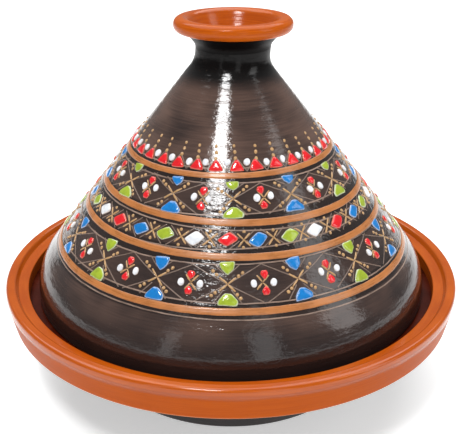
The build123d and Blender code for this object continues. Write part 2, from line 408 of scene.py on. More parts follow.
def enamel_finish(name, colour, pale, seed):
    """Thick trailed enamel: deeper where it pools, and thin and pale at its edge."""
    finish = Finish(name)
    edge = finish.add("ShaderNodeAttribute", {"attribute_name": "edge"}, output="Fac")
    pool = finish.spots(3.2 * MM, 3.0, seed)
    deep = finish.smooth(pool, 0.35, 0.7)
    body = finish.mix(deep, shade(colour), shade(colour, 0.80))
    ragged = finish.smooth(edge + (finish.spots(1.5 * MM, 2.0, 9.0) - 0.5) * 0.25, 0.84, 0.96)
    body = finish.mix(ragged * 0.4, body, shade(pale))
    return finish.close(body, pool * 0.08 + 0.10, pool, 0.25 * MM, 0.5)


# Each slip: its colour, how dark and how bright its strokes are, and its seed.
SLIPS = {
    "ochre slip": ("ochre", 0.72, 1.0, 1.0),
    "pale slip": ("pale_slip", 0.75, 1.0, 4.0),
    "scored clay": ("score", 0.7, 1.4, 2.0),
    "scored clay fine": ("score", 0.7, 1.0, 3.0),
}
# Each enamel: the colour of its thin edge, and its seed.
ENAMELS = {
    "red enamel": ("pale_slip", 1.0),
    "white enamel": ("pale_slip", 2.0),
    "green enamel": ("white", 5.0),
    "blue enamel": ("white", 5.0),
}


def decor_finish(colours, name):
    """A finish of the decoration, made the first time that it is asked for."""
    held = bpy.data.materials.get(name)
    if held:
        return held
    if name in SLIPS:
        colour, low, high, seed = SLIPS[name]
        return slip_finish(name, getattr(colours, colour), low, high, seed)
    pale, seed = ENAMELS[name]
    return enamel_finish(name, getattr(colours, name.split()[0]), getattr(colours, pale), seed)


# ---------------------------------------------------------------- mesh making
def rounded(outline, closed, step=math.radians(9)):
    """(radius, z) points of an outline of (radius, z, corner round), arcs worked out."""
    points = []
    last = len(outline) - 1
    for i, (radius, z, corner) in enumerate(outline):
        here = Vector((radius, z))
        if not corner or (not closed and i in (0, last)):
            points.append(here)
            continue
        before = (Vector(outline[i - 1][:2]) - here).normalized()
        after = (Vector(outline[(i + 1) % len(outline)][:2]) - here).normalized()
        between = before.angle(after)
        reach = corner / math.tan(between / 2)
        centre = here + (before + after).normalized() * (corner / math.sin(between / 2))
        start = here + before * reach - centre
        sweep = start.angle_signed(here + after * reach - centre)
        count = max(2, math.ceil(abs(sweep) / step))
        for k in range(count + 1):
            turn = -sweep * k / count
            cos, sin = math.cos(turn), math.sin(turn)
            points.append(centre + Vector((start.x * cos - start.y * sin, start.x * sin + start.y * cos)))
    return points


def divided(points, step, closed):
    """The same outline with its long runs cut into even pieces."""
    finer = []
    pairs = list(zip(points, points[1:] + points[:1]))
    for a, b in pairs if closed else pairs[:-1]:
        count = max(1, round((b - a).length / step))
        finer += [a.lerp(b, k / count) for k in range(count)]
    return finer if closed else finer + [points[-1]]


def new_piece(name, vertices, faces, outwards=True):
    name = name.replace(" ", "_")
    mesh = bpy.data.meshes.new(name)
    mesh.from_pydata([tuple(v) for v in vertices], [], faces)
    if outwards:
        shell = bmesh.new()
        shell.from_mesh(mesh)
        bmesh.ops.recalc_face_normals(shell, faces=shell.faces)
        shell.to_mesh(mesh)
        shell.free()
    mesh.shade_smooth()
    piece = bpy.data.objects.new(name, mesh)
    bpy.context.collection.objects.link(piece)
    return piece


def thrown(name, outline, segments=256, step=1.2 * MM):
    """A closed piece turned round Z from an outline of (radius, z, corner round)."""
    line = divided(rounded(outline, True), step, True)
    vertices, rings = [], []
    for point in line:
        if point.x < 1e-7:
            rings.append([len(vertices)])
            vertices.append((0, 0, point.y))
            continue
        rings.append(list(range(len(vertices), len(vertices) + segments)))
        for k in range(segments):
            angle = TURN * k / segments
            vertices.append((point.x * math.sin(angle), -point.x * math.cos(angle), point.y))
    faces = []
    for low, high in zip(rings, rings[1:] + rings[:1]):
        for k in range(segments):
            after = (k + 1) % segments
            corners = [low[k % len(low)], low[after % len(low)]]
            corners += [high[after % len(high)], high[k % len(high)]]
            corners = list(dict.fromkeys(corners))
            if len(corners) > 2:
                faces.append(corners)
    piece = new_piece(name, vertices, faces)
    piece.data.set_sharp_from_angle(angle=math.radians(50))
    return piece


def softened(corners, rounds=3, cut=0.14):
    """A polygon with its corners cut again and again, as a trailed shape settles."""
    for _ in range(rounds):
        pairs = zip(corners, corners[1:] + corners[:1])
        corners = [a.lerp(b, share) for a, b in pairs for share in (cut, 1 - cut)]
        cut = 0.25
    return corners


def pillow(outlines, up, height, levels, sink=0.3 * MM):
    """Domed shapes on the front of the lid, one for each flat outline of (x, y) points."""
    vertices, faces, edge = [], [], []
    for outline in outlines:
        centre = sum(outline, Vector((0, 0))) / len(outline)
        count = len(outline)
        first = len(vertices)
        rings = [(1.0, -sink), (1.0, 0.0)] + [(share, rise * height) for share, rise in levels]
        for share, out in rings:
            for point in outline:
                at = centre.lerp(point, share)
                vertices.append(on_lid(at.x, up + at.y, out))
                edge.append(share if out > 0 else 1.0)
        top, bottom = len(vertices), len(vertices) + 1
        vertices += [on_lid(centre.x, up + centre.y, height), on_lid(centre.x, up + centre.y, -sink)]
        edge += [0.0, 1.0]
        for k in range(count):
            after = (k + 1) % count
            for ring in range(len(rings) - 1):
                low, high = first + ring * count, first + (ring + 1) * count
                faces.append((low + k, low + after, high + after, high + k))
            high = first + (len(rings) - 1) * count
            faces.append((high + k, high + after, top))
            faces.append((first + after, first + k, bottom))
    return vertices, faces, edge


FULL = ((0.93, 0.45), (0.78, 0.76), (0.50, 0.95))
BEAD = ((0.62, 0.85),)


def domed(name, outlines, up, height, levels=FULL):
    vertices, faces, edge = pillow(outlines, up, height, levels)
    piece = new_piece(name, vertices, faces)
    piece.data.attributes.new("edge", "FLOAT", "POINT").data.foreach_set("value", edge)
    return piece


def loop(*points):
    return [Vector((x * MM, y * MM)) for x, y in points]


def dot(x, y, radius, count=8, tall=1.0):
    """The outline of one round drop, with its middle at (x, y) millimetres."""
    angles = [TURN * k / count for k in range(count)]
    return loop(*[(x + radius * math.cos(a), y + tall * radius * math.sin(a)) for a in angles])


def stroke(x0, y0, x1, y1, width):
    """The outline of one brush stroke from (x0, y0) to (x1, y1), thinner at its end."""
    start, end = Vector((x0, y0)) * MM, Vector((x1, y1)) * MM
    way = (end - start).normalized()
    side = Vector((-way.y, way.x)) * width * MM / 2
    middle = start.lerp(end, 0.45)
    return [
        start + side * 0.6, start - way * width * MM * 0.3, start - side * 0.6, middle - side,
        end - side * 0.7, end + way * width * MM * 0.3, end + side * 0.7, middle + side,
    ]


def scratches(name, lines, up, width, lip, pieces=10):
    """Scored lines on the front of the lid: a valley between two low burrs."""
    sunk, valley = -0.30 * MM, 0.03 * MM
    shares = ((-0.5, sunk), (-0.5, 0.0), (-0.25, lip), (0.0, valley), (0.25, lip), (0.5, 0.0), (0.5, sunk))
    vertices, faces = [], []
    for x0, y0, x1, y1 in lines:
        start, end = Vector((x0, y0)) * MM, Vector((x1, y1)) * MM
        way = (end - start).normalized()
        side = Vector((-way.y, way.x)) * width
        first = len(vertices)
        for k in range(pieces + 1):
            at = start.lerp(end, k / pieces)
            for share, out in shares:
                vertices.append(on_lid(at.x + side.x * share, up + at.y + side.y * share, out))
        row = len(shares)
        for k in range(pieces):
            low, high = first + k * row, first + (k + 1) * row
            for j in range(row):
                after = (j + 1) % row
                faces.append((low + j, low + after, high + after, high + j))
        faces.append(list(range(first + row - 1, first - 1, -1)))
        faces.append(list(range(first + pieces * row, first + (pieces + 1) * row)))
    return new_piece(name, vertices, faces)


# ---------------------------------------------------------------- geometry node trees
def new_tree(name, inputs):
    """A modifier tree with named inputs: returns its wires and a dict of its inputs."""
    tree = bpy.data.node_groups.new(name, "GeometryNodeTree")
    tree.is_modifier = True
    tree.interface.new_socket("Geometry", in_out="INPUT", socket_type="NodeSocketGeometry")
    tree.interface.new_socket("Geometry", in_out="OUTPUT", socket_type="NodeSocketGeometry")
    for label, kind in inputs.items():
        tree.interface.new_socket(label, in_out="INPUT", socket_type=f"NodeSocket{kind}")
    wires = Wires(tree)
    group = wires.add("NodeGroupInput", output=None)
    given = {label: Link(wires, group.outputs[label]) for label in ["Geometry", *inputs]}
    return wires, given


def close_tree(wires, geometry, material):
    """Realize Instances and Set Material, then the tree's output."""
    geometry = wires.add("GeometryNodeRealizeInstances", values={0: geometry})
    geometry = wires.add("GeometryNodeSetMaterial", values={"Geometry": geometry, "Material": material})
    wires.add("NodeGroupOutput", values={0: geometry}, output=None)
    return wires.tree


def wheel_tree():
    """Raises the rings that the fingers leave on the wheel, and lets the clay wander."""
    inputs = {
        "Ring Pitch": "Float", "Ring Depth": "Float", "Wander": "Float", "Wander Size": "Float",
        "Lean": "Float", "Lean From": "Float", "Lean To": "Float", "Seed": "Float",
        "Material": "Material",
    }
    wires, given = new_tree("wheel thrown", inputs)
    place = wires.add("GeometryNodeInputPosition")
    x, y, z = (wires.add("ShaderNodeSeparateXYZ", values={0: place}, output=name) for name in "XYZ")
    angle = wires.math("ARCTAN2", y, x)
    wave = wires.math("SINE", z / given["Ring Pitch"] * TURN + angle)
    stretched = wires.add(
        "ShaderNodeCombineXYZ", values={0: x * 12, 1: y * 12, 2: z / given["Ring Pitch"] * 0.6}
    )
    patchy = wires.smooth(wires.noise(stretched, 1.0, 2.0, 0.5, given["Seed"]), 0.35, 0.75)
    wander = wires.noise(place, 1.0 / given["Wander Size"], 1.0, 0.5, given["Seed"] + 4.0) - 0.5
    height = wave * patchy * given["Ring Depth"] + wander * given["Wander"]
    normal = wires.add("GeometryNodeInputNormal")
    offset = wires.vector("SCALE", normal)
    wires.put(Wires.find(offset.socket.node.inputs, "Scale"), height)
    lean = wires.smooth(z, given["Lean From"], given["Lean To"]) * given["Lean"]
    lean = wires.add("ShaderNodeCombineXYZ", values={0: lean})
    values = {"Geometry": given["Geometry"], "Offset": wires.vector("ADD", offset, lean)}
    moved = wires.add("GeometryNodeSetPosition", values=values)
    return close_tree(wires, moved, given["Material"])


def row_tree():
    """Sets copies of one shape round the lid, each a little different, as by hand."""
    inputs = {
        "Copies": "Int", "Pitch": "Float", "First Angle": "Float", "Crowding": "Float", "Jitter": "Float",
        "Slide": "Float", "Tilt": "Float", "Centre": "Vector", "Wobble": "Float",
        "Wobble Size": "Float", "Lean": "Float", "Seed": "Int", "Material": "Material",
    }
    wires, given = new_tree("row round the lid", inputs)
    index = wires.add("GeometryNodeInputIndex")

    def chance(amount, shift):
        values = {"Min": amount * -1.0, "Max": amount, "ID": index, "Seed": given["Seed"] + shift}
        return wires.add("FunctionNodeRandomValue", {"data_type": "FLOAT"}, values, "Value")

    values = {"Count": given["Copies"], "Offset": (0, 0, 0)}
    points = wires.add("GeometryNodeMeshLine", {"mode": "OFFSET"}, values)
    even = given["First Angle"] + given["Pitch"] * index
    angle = even - given["Crowding"] * wires.math("SINE", even) + chance(given["Jitter"], 1)
    turned = wires.add("ShaderNodeCombineXYZ", values={2: angle})
    turned = wires.add("FunctionNodeEulerToRotation", values={0: turned})
    values = {"Points": points, "Instance": given["Geometry"], "Rotation": turned}
    placed = wires.add("GeometryNodeInstanceOnPoints", values=values)
    rise, run = wires.math("COSINE", given["Lean"]), wires.math("SINE", given["Lean"])
    outwards = wires.add("ShaderNodeCombineXYZ", values={1: rise * -1.0, 2: run})
    twist = wires.add(
        "FunctionNodeAxisAngleToRotation", values={"Axis": outwards, "Angle": chance(given["Tilt"], 2)}
    )
    values = {"Instances": placed, "Rotation": twist, "Pivot Point": given["Centre"], "Local Space": True}
    placed = wires.add("GeometryNodeRotateInstances", values=values)
    slide = chance(given["Slide"], 3)
    shift = wires.add("ShaderNodeCombineXYZ", values={1: run * slide, 2: rise * slide})
    values = {"Instances": placed, "Translation": shift, "Local Space": True}
    placed = wires.add("GeometryNodeTranslateInstances", values=values)
    real = wires.add("GeometryNodeRealizeInstances", values={0: placed})

    place = wires.add("GeometryNodeInputPosition")
    values = {"Vector": place, "W": given["Seed"] * 1.7, "Scale": 1.0 / given["Wobble Size"], "Detail": 1.0}
    push = wires.add("ShaderNodeTexNoise", {"noise_dimensions": "4D"}, values, "Color")
    push = wires.vector("SUBTRACT", push, (0.5, 0.5, 0.5))
    flat = wires.vector("NORMALIZE", wires.vector("MULTIPLY", place, (1, 1, 0)))
    normal = wires.add("ShaderNodeCombineXYZ", values={0: rise, 1: rise, 2: run})
    normal = wires.vector("MULTIPLY", wires.vector("ADD", flat, (0, 0, 1)), normal)
    along = wires.vector("DOT_PRODUCT", push, normal, output="Value")
    lift = wires.vector("SCALE", normal)
    wires.put(Wires.find(lift.socket.node.inputs, "Scale"), along)
    push = wires.vector("SUBTRACT", push, lift)
    offset = wires.vector("SCALE", push)
    wires.put(Wires.find(offset.socket.node.inputs, "Scale"), given["Wobble"] * 2.0)
    moved = wires.add("GeometryNodeSetPosition", values={"Geometry": real, "Offset": offset})
    return close_tree(wires, moved, given["Material"])


def grown(piece, maker, inputs):
    """Runs a node tree on a piece and keeps the result as its plain mesh."""
    name = maker.__name__
    tree = bpy.data.node_groups.get(name)
    if tree is None:
        tree = maker()
        tree.name = name
    piece.data.materials.append(inputs["Material"])
    modifier = piece.modifiers.new("shape", "NODES")
    modifier.node_group = tree
    keys = {item.name: item.identifier for item in tree.interface.items_tree if item.in_out == "INPUT"}
    for label, value in inputs.items():
        modifier[keys[label]] = value
    piece.update_tag()
    graph = bpy.context.evaluated_depsgraph_get()
    mesh = bpy.data.meshes.new_from_object(piece.evaluated_get(graph))
    piece.modifiers.remove(modifier)
    old, piece.data = piece.data, mesh
    bpy.data.meshes.remove(old)
    mesh.name = piece.name
    if not mesh.polygons:
        raise RuntimeError(f"{piece.name} came out empty")
    return piece


def fired(
    piece, material, nodes,
    pitch=3.0 * MM, depth=0.05 * MM, wander=0.15 * MM, lean=0.0, seed=1.0,
):
    """Finishes a thrown piece and puts it in the place of its CAD nodes."""
    body = "lid" if nodes[0].startswith(("lid", "knob")) else "dish"
    inputs = {
        "Ring Pitch": pitch, "Ring Depth": depth, "Wander": wander, "Wander Size": 60 * MM,
        "Lean": lean, "Lean From": KNOB_Z - 16 * MM, "Lean To": KNOB_Z + 2 * MM,
        "Seed": seed, "Material": material,
    }
    grown(piece, wheel_tree, inputs)
    settle(piece, body, nodes)


def settle(piece, body, nodes):
    if nodes:
        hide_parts(*nodes)
    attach(piece, body)


class Row:
    """Even places round the lid at one height, and the ways to fill them.

    crowd draws the places together at the front of the lid, and apart at its back.
    """

    def __init__(self, context, up, count=1, start=0, crowd=0.0):
        _, self.decoration, self.colours = settings(context)
        self.up, self.count, self.start, self.crowd = up, count, start, crowd

    def between(self):
        """The row half a place further round."""
        other = copy.copy(self)
        other.start = self.start + TURN / self.count / 2
        return other

    def place(self, piece, finish, node=None, lift=0.0, every=1, skip=0, hand=1.0, seed=1):
        """Copies a piece to one place in every, after skip; hand is how unevenly."""
        pitch = TURN / self.count
        inputs = {
            "Copies": math.ceil((self.count - skip) / every),
            "Pitch": pitch * every,
            "First Angle": self.start + pitch * skip,
            "Crowding": self.crowd,
            "Jitter": math.radians(0.35) * hand,
            "Slide": 0.30 * MM * hand,
            "Tilt": math.radians(4.0) * hand,
            "Centre": on_lid(0, self.up + lift),
            "Wobble": 0.55 * MM * hand,
            "Wobble Size": 7 * MM,
            "Lean": LEAN,
            "Seed": seed,
            "Material": decor_finish(self.colours, finish),
        }
        grown(piece, row_tree, inputs)
        slot = finish.replace(" ", "_") if finish in ENAMELS else "ochre_slip"
        settle(piece, "lid", [node] if node else [])

    def enamel(self, name, outlines, colour, node, proud=1.0, **ways):
        piece = domed(name, outlines, self.up, self.decoration.enamel_height * proud)
        self.place(piece, f"{colour} enamel", node, **ways)

    def trailed(self, name, outlines, node=None, proud=1.0, **ways):
        piece = domed(name, outlines, self.up, self.decoration.slip_height * proud, BEAD)
        self.place(piece, "pale slip", node, **ways)

    def scored(self, name, lines, pieces=10, **ways):
        width, lip = self.decoration.score_width * 0.8, self.decoration.score_lip
        self.place(scratches(name, lines, self.up, width, lip, pieces), "scored clay fine", **ways)


# ---------------------------------------------------------------- properties
def colour_property(name, description, value):
    return FloatVectorProperty(
        name=name, description=description, default=value, subtype="COLOR", size=3, min=0.0, max=1.0
    )


def length_property(name, description, millimetres):
    return FloatProperty(
        name=name, description=description, default=millimetres * MM, subtype="DISTANCE", unit="LENGTH"
    )


def angle_property(name, degrees):
    return FloatProperty(
        name=name, description="Angle of the first place, from the front of the lid",
        default=math.radians(degrees), subtype="ANGLE", unit="ROTATION",
    )


def count_property(name, description, count, least):
    return IntProperty(name=name, description=description, default=count, min=least)


def power_property(name, description, watts):
    return FloatProperty(name=name, description=description, default=watts, unit="POWER")


class TaginePotSizes(PropertyGroup):
    lip_width: length_property("Lip width", "Width of the dish's lip", 6.1)
    step_run: length_property("Step", "How far the step inside the lip runs in", 2.0)
    step_drop: length_property("Step drop", "Height of the step inside the lip", 3.6)
    ledge_fall: length_property("Ledge fall", "How far the ledge falls inwards", 0.8)
    rim_taper: length_property("Rim taper", "How far the rim leans in at its bottom edge", 3.6)
    foot_width: length_property("Foot width", "Width of the foot ring", 10.3)
    lid_wall: length_property("Lid wall", "Thickness of the lid", 7.5)
    shoulder_round: length_property("Shoulder", "Round between the cone and the skirt", 36.0)
    neck_round: length_property("Neck round", "Round between the cone and the neck", 14.0)
    neck_height: length_property("Neck height", "Straight part of the neck, with its round", 8.4)
    neck_radius: length_property("Neck radius", "Radius of the neck under the knob", 23.7)
    cup_depth: length_property("Cup depth", "Depth of the hollow in the knob", 14.0)
    ring_pitch: length_property("Ring pitch", "Spacing of the finger rings", 3.4)
    ring_depth: length_property("Ring depth", "Height of the finger rings", 0.05)
    knob_lean: length_property("Knob lean", "How far the knob sits to one side", 1.5)


class TagineDecoration(PropertyGroup):
    crown_count: count_property("Triangles", "Triangles round the crown", 33, 3)
    crown_start: angle_property("Triangles from", 3.1)
    upper_count: count_property("Upper crossings", "Crossings in the upper zone", 13, 2)
    upper_start: angle_property("Upper from", -165.4)
    middle_count: count_property("Lozenges", "Lozenges in the middle zone", 32, 4)
    middle_start: angle_property("Lozenges from", -1.3)
    lower_count: count_property("Lower crossings", "Crossings in the lower zone", 16, 2)
    lower_start: angle_property("Lower from", -1.0)
    enamel_height: length_property("Enamel height", "How far the enamel stands proud", 1.0)
    slip_height: length_property("Slip height", "How far strokes and dots stand proud", 0.5)
    score_width: length_property("Score width", "Width of the scored lines", 0.8)
    score_lip: length_property("Score lip", "Height of the burrs beside a scored line", 0.16)


class TagineColours(PropertyGroup):
    glaze_dark: colour_property("Dark glaze", "Lid glaze where it is thick", (0.019, 0.013, 0.0125))
    glaze_warm: colour_property("Warm glaze", "Lid glaze where it is thin", (0.110, 0.065, 0.050))
    clay_bright: colour_property("Bright clay", "Terracotta under clear glaze", (0.47, 0.092, 0.002))
    clay_deep: colour_property("Deep clay", "Terracotta in the turning lines", (0.37, 0.061, 0.001))
    seat_brown: colour_property("Seat brown", "Glaze inside the dish", (0.062, 0.0075, 0.0022))
    bare_clay: colour_property("Bare clay", "Unglazed clay inside the lid", (0.42, 0.17, 0.08))
    ochre: colour_property("Ochre", "Slip of the bands", (0.46, 0.165, 0.042))
    pale_slip: colour_property("Pale slip", "Slip of the strokes and dots", (0.50, 0.29, 0.12))
    score: colour_property("Score", "Clay in the scored lines", (0.22, 0.15, 0.115))
    red: colour_property("Red", "Red enamel", (0.70, 0.008, 0.014))
    white: colour_property("White", "White enamel", (0.76, 0.78, 0.82))
    green: colour_property("Green", "Green enamel", (0.32, 0.42, 0.025))
    blue: colour_property("Blue", "Blue enamel", (0.003, 0.18, 0.52))


class TagineStudio(PropertyGroup):
    camera_distance: length_property("Distance", "Camera to the aim point", 568.0)
    camera_height: length_property("Height", "Camera above the table", 333.0)
    aim_height: length_property("Aim height", "Aim point above the table", 105.7)
    lens: FloatProperty(name="Lens", description="Focal length in millimetres", default=64.45, unit="CAMERA")
    strip_power: power_property("Strip", "Power of the strip light", 9.5)
    fill_power: power_property("Fill", "Power of the side light", 4.0)
    top_power: power_property("Overhead", "Power of the overhead light", 80.0)
    panel_power: power_property("Panels", "Power of the low front panel", 1.6)
    floor_glow: FloatProperty(name="Floor glow", description="Light of the table itself", default=0.45)
    world_light: FloatProperty(name="Surroundings", description="Light of the white room", default=0.26)


def settings(context):
    scene = context.scene
    return scene.tagine_pot, scene.tagine_decoration, scene.tagine_colours


# ---------------------------------------------------------------- the pieces
class TAGINE_OT_dish(Operator):
    """Make the dish: terracotta rim, glazed inside, bowl and foot"""

    bl_idname = "tagine.dish"
    bl_label = "Dish"

    def execute(self, context):
        sizes, _, colours = settings(context)
        lip_inner = RIM_RADIUS - sizes.lip_width
        ledge_outer = lip_inner - sizes.step_run
        ledge_z = DISH_TOP - sizes.step_drop
        outline = [
            (LEDGE_INNER, RIM_BOTTOM, 0),
            (RIM_RADIUS - sizes.rim_taper, RIM_BOTTOM, 1.4 * MM),
            (RIM_RADIUS, DISH_TOP - 5 * MM, 2.4 * MM),
            (RIM_RADIUS, DISH_TOP, 2.4 * MM),
            (lip_inner, DISH_TOP, 1.8 * MM),
            (ledge_outer, ledge_z, 0.6 * MM),
            (LEDGE_INNER, ledge_z - sizes.ledge_fall, 0.8 * MM),
        ]
        rim = thrown("dish rim", outline, 288)
        fired(rim, terracotta(colours), ["dish_rim"], depth=0.06 * MM)

        seat_inner = SKIRT_RADIUS - sizes.lid_wall - 3.5 * MM
        inside = [
            (LEDGE_INNER, SEAT_Z, 0),
            (seat_inner, SEAT_Z, 2.5 * MM),
            (109.1 * MM, SEAT_Z - 25 * MM, 30 * MM),
            (84 * MM, BOWL_FLOOR + 0.5 * MM, 22 * MM),
            (0, BOWL_FLOOR + 0.5 * MM, 0),
        ]
        flange = RIM_RADIUS - sizes.rim_taper - 1.8 * MM
        under = [
            (0, BOWL_FLOOR, 0),
            (LEDGE_INNER - 40 * MM, BOWL_FLOOR, 0),
            (LEDGE_INNER, SEAT_Z - 0.5 * MM, 0),
        ]
        lining = thrown("dish lining", inside + under, 224, 1.8 * MM)
        fired(lining, seat_glaze(colours), ["bowl_glaze"], wander=0.0, seed=3.0)

        outside = [
            (0, FOOT_TOP, 0),
            (FOOT_TOP_RADIUS, FOOT_TOP, 0),
            (flange - 6 * MM, RIM_BOTTOM - 5 * MM, 8 * MM),
            (flange, RIM_BOTTOM, 0),
            (LEDGE_INNER, RIM_BOTTOM, 0),
            (LEDGE_INNER - 40 * MM, BOWL_FLOOR + 2 * MM, 0),
            (0, FOOT_TOP + 2 * MM, 0),
        ]
        glaze = underside_glaze(colours)
        bowl = thrown("dish underside", outside, 224, 2.0 * MM)
        fired(bowl, glaze, ["dish_bowl"], wander=0.1 * MM, seed=4.0)

        foot_radius = FOOT_TOP_RADIUS - 1.7 * MM
        ring = [
            (foot_radius - sizes.foot_width, 0, 1.5 * MM),
            (foot_radius, 0, 1.5 * MM),
            (FOOT_TOP_RADIUS, FOOT_TOP, 0),
            (foot_radius - sizes.foot_width - 1.7 * MM, FOOT_TOP, 0),
        ]
        foot = thrown("foot ring", ring, 192)
        fired(foot, glaze, ["foot_ring"], depth=0.04 * MM, wander=0.0, seed=5.0)
        return {"FINISHED"}


class TAGINE_OT_lid(Operator):
    """Make the lid: clay cone, glaze coat and cup-shaped knob"""

    bl_idname = "tagine.lid"
    bl_label = "Lid"

    def execute(self, context):
        sizes, _, colours = settings(context)
        neck_z = KNOB_Z - sizes.neck_height

        def line(inset, end):
            """The lid's outside moved in by inset, from the knob down to end."""
            neck = sizes.neck_radius - inset
            skirt = SKIRT_RADIUS - inset
            drop = inset * math.tan(LEAN / 2)
            return [
                (neck, KNOB_Z, 0),
                (neck, neck_z - drop, sizes.neck_round + inset),
                (skirt, SHOULDER_Z - drop, sizes.shoulder_round - inset),
                (skirt, end, 0),
            ]

        coat = line(0.0, coat_low[2]) + line(0.6 * MM, coat_low[2])[::-1]
        glaze = thrown("lid glaze", coat, 256, 1.1 * MM)
        material = dark_glaze(colours)
        fired(
            glaze, material, ["lid_glaze_coat"],
            sizes.ring_pitch, sizes.ring_depth, 0.25 * MM, sizes.knob_lean, 7.0,
        )
        clay = line(0.6 * MM, LID_FOOT) + line(sizes.lid_wall, LID_FOOT)[::-1]
        clay[3] = clay[3][:2] + (1.0 * MM,)
        clay[4] = clay[4][:2] + (1.0 * MM,)
        cone = thrown("lid clay", clay, 192, 2.2 * MM)
        fired(
            cone, bare_clay(colours), ["lid_cone"],
            sizes.ring_pitch * 1.6, 0.12 * MM, 0.0, sizes.knob_lean, 8.0,
        )
        rim_z = TOP - 9 * MM
        cup_radius = KNOB_RADIUS - 8.8 * MM
        cup = [
            (0, KNOB_Z, 0),
            (sizes.neck_radius, KNOB_Z, 0),
            (sizes.neck_radius, KNOB_Z + 2.4 * MM, 6 * MM),
            (30 * MM, rim_z, 1.5 * MM),
            (KNOB_RADIUS, rim_z, 4.3 * MM),
            (KNOB_RADIUS, TOP, 4.3 * MM),
            (cup_radius, TOP, 4.3 * MM),
            (21 * MM, TOP - sizes.cup_depth, 8 * MM),
            (0, TOP - sizes.cup_depth, 0),
        ]
        knob = thrown("knob cup", cup, 160, 1.0 * MM)
        fired(
            knob, knob_glaze(colours, sizes.cup_depth), ["knob_cup"],
            wander=0.1 * MM, lean=sizes.knob_lean, seed=9.0,
        )
        return {"FINISHED"}


def hoop(name, up, width, height, crown=0.0):
    """A flat hoop round the cone, its edges rounded over, as a closed turned piece."""
    half = width / 2
    section = [(-half, -0.3 * MM), (half, -0.3 * MM), (half, 0.4 * height), (half * 0.8, height)]
    section += [(0, height + crown), (-half * 0.8, height), (-half, 0.4 * height)]
    points = [on_lid(0, up + along, out) for along, out in section]
    return thrown(name, [(-p.y, p.z, 0) for p in points], 360, 0.9 * MM)


class TAGINE_OT_bands(Operator):
    """Make the ochre slip bands and the scored rings beside them"""

    bl_idname = "tagine.bands"
    bl_label = "Bands"

    def execute(self, context):
        _, decoration, _ = settings(context)
        gap = BAND_WIDTH / 2 + 2.3 * MM
        rings = []
        for seed, (name, up) in enumerate(BANDS.items()):
            wide = BAND_WIDTH * (0.78 if name == "crown" else 0.92)
            band = hoop(f"{name} band", up, wide, SLIP)
            Row(context, up).place(band, "ochre slip", f"{name}_band", hand=0.5, seed=20 + seed)
            rings += [(f"{name} ring under", up - gap), (f"{name} ring over", up + gap)]
        for seed, (name, up) in enumerate(rings):
            ring = hoop(name, up, decoration.score_width, decoration.score_lip)
            Row(context, up).place(ring, "scored clay", hand=0.5, seed=40 + seed)
        return {"FINISHED"}


def mirrored(lines):
    """Lines as (x0, y0, x1, y1), with their left-hand copies."""
    return lines + [(-x0, y0, -x1, y1) for x0, y0, x1, y1 in lines]


class TAGINE_OT_crown(Operator):
    """Make the row of red triangles, white drops and ochre dots above the top band"""

    bl_idname = "tagine.crown"
    bl_label = "Crown"

    def execute(self, context):
        _, decoration, _ = settings(context)
        base = BANDS["crown"] + BAND_WIDTH / 2 + 0.7 * MM
        row = Row(context, base, decoration.crown_count, decoration.crown_start)
        shape = softened(loop((-5.0, -0.3), (5.0, -0.3), (0.9, 6.8), (-0.9, 6.8)))
        row.enamel("crown triangles", [shape], "red", "crown_triangles", seed=60)

        drop_up = 4.8
        drop = dot(0, drop_up, 2.1, 12, 1.12)
        ways = {"lift": drop_up * MM, "hand": 2.0, "seed": 61}
        row.between().enamel("crown drops", [drop], "white", "crown_drops", 1.1, **ways)

        places = ((0.0, 7.7, 1.15), (0.2, 11.6, 1.1), (0.0, 15.4, 0.95))
        row.trailed("crown dots", [dot(x, y, radius, tall=1.15) for x, y, radius in places], seed=62)
        half_pitch = TURN / row.count * slope_radius(base) / MM / 2
        row.scored("crown scoring", mirrored([(0.5, 7.4, half_pitch, -0.4)]), hand=0.4, seed=63)
        return {"FINISHED"}


